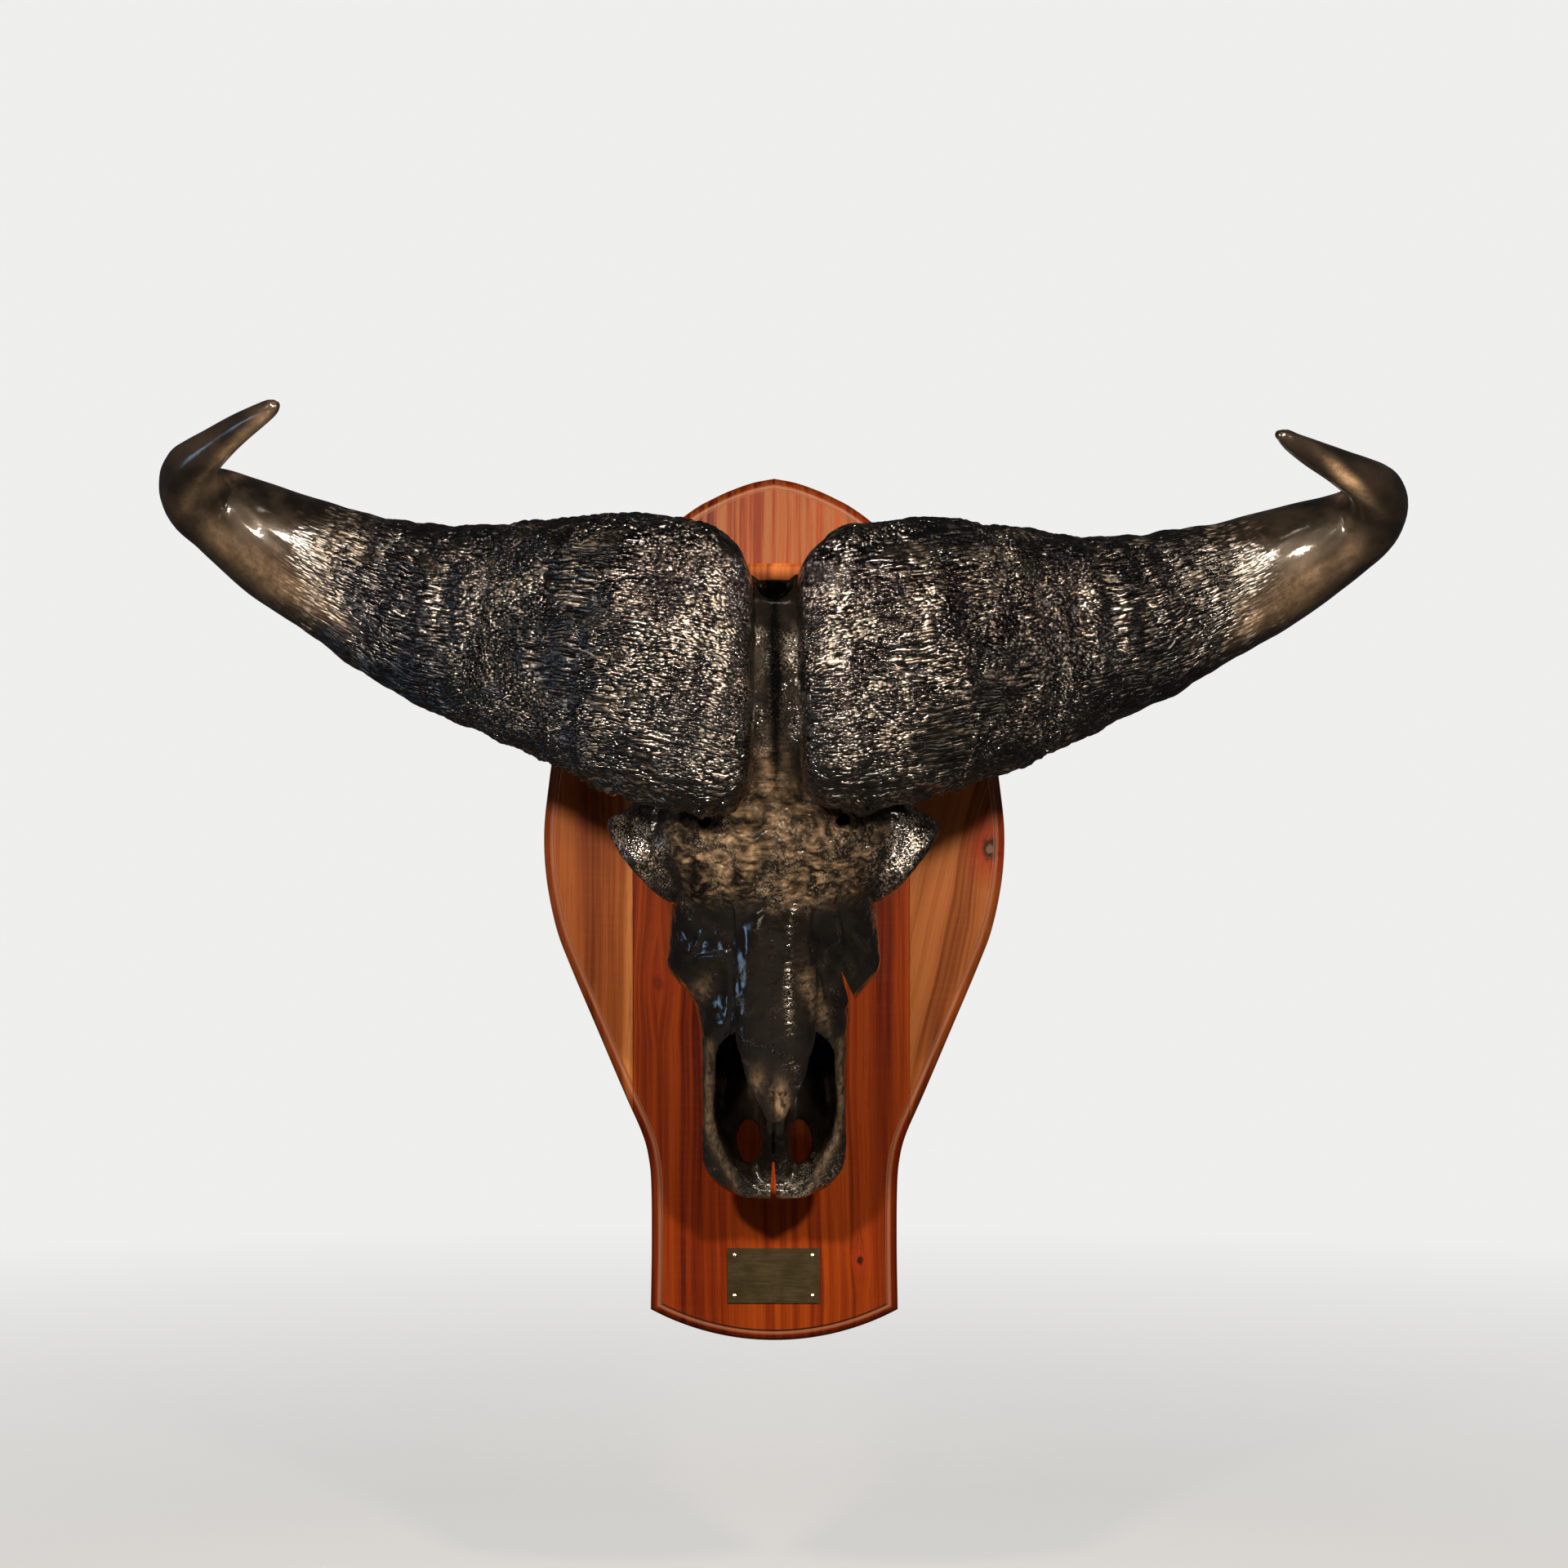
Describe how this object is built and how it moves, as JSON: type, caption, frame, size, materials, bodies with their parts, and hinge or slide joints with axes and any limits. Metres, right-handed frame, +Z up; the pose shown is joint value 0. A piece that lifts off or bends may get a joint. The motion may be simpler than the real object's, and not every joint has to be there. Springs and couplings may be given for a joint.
{
  "type": "buffalo skull mount",
  "caption": "Lacquered buffalo skull with wide hooked horns on a shield-shaped wooden wall plaque with a bare brass plate.",
  "frame": {"origin": "middle of the plaque's back face, where it lies against the wall", "axes": "+X along the horns, to the viewer's right; +Y into the wall; +Z up"},
  "size_m": [0.9924, 0.3178, 0.7507],
  "materials": {
    "lacquered_horn": "dark bronze lacquer over rough horn",
    "lacquered_bone": "dark bronze lacquer over bone",
    "red_wood": "satin oil",
    "pale_wood": "satin oil",
    "aged_brass": "brushed and dulled",
    "bright_brass": "polished",
    "zinc_steel": "zinc plated"
  },
  "bodies": {
    "root": {"skull": "lacquered_bone", "horn_left": "lacquered_horn", "horn_right": "lacquered_horn", "board_left": "pale_wood", "board_centre": "red_wood", "board_right": "pale_wood", "pedestal": "red_wood", "bolt_upper": "zinc_steel", "bolt_lower": "zinc_steel", "washer_upper": "zinc_steel", "washer_lower": "zinc_steel", "nameplate": "aged_brass", "nameplate_pin_1": "bright_brass", "nameplate_pin_2": "bright_brass", "nameplate_pin_3": "bright_brass", "nameplate_pin_4": "bright_brass", "hanger_clip": "zinc_steel", "hanger_screw_left": "zinc_steel", "hanger_screw_right": "zinc_steel"}
  },
  "joints": []
}
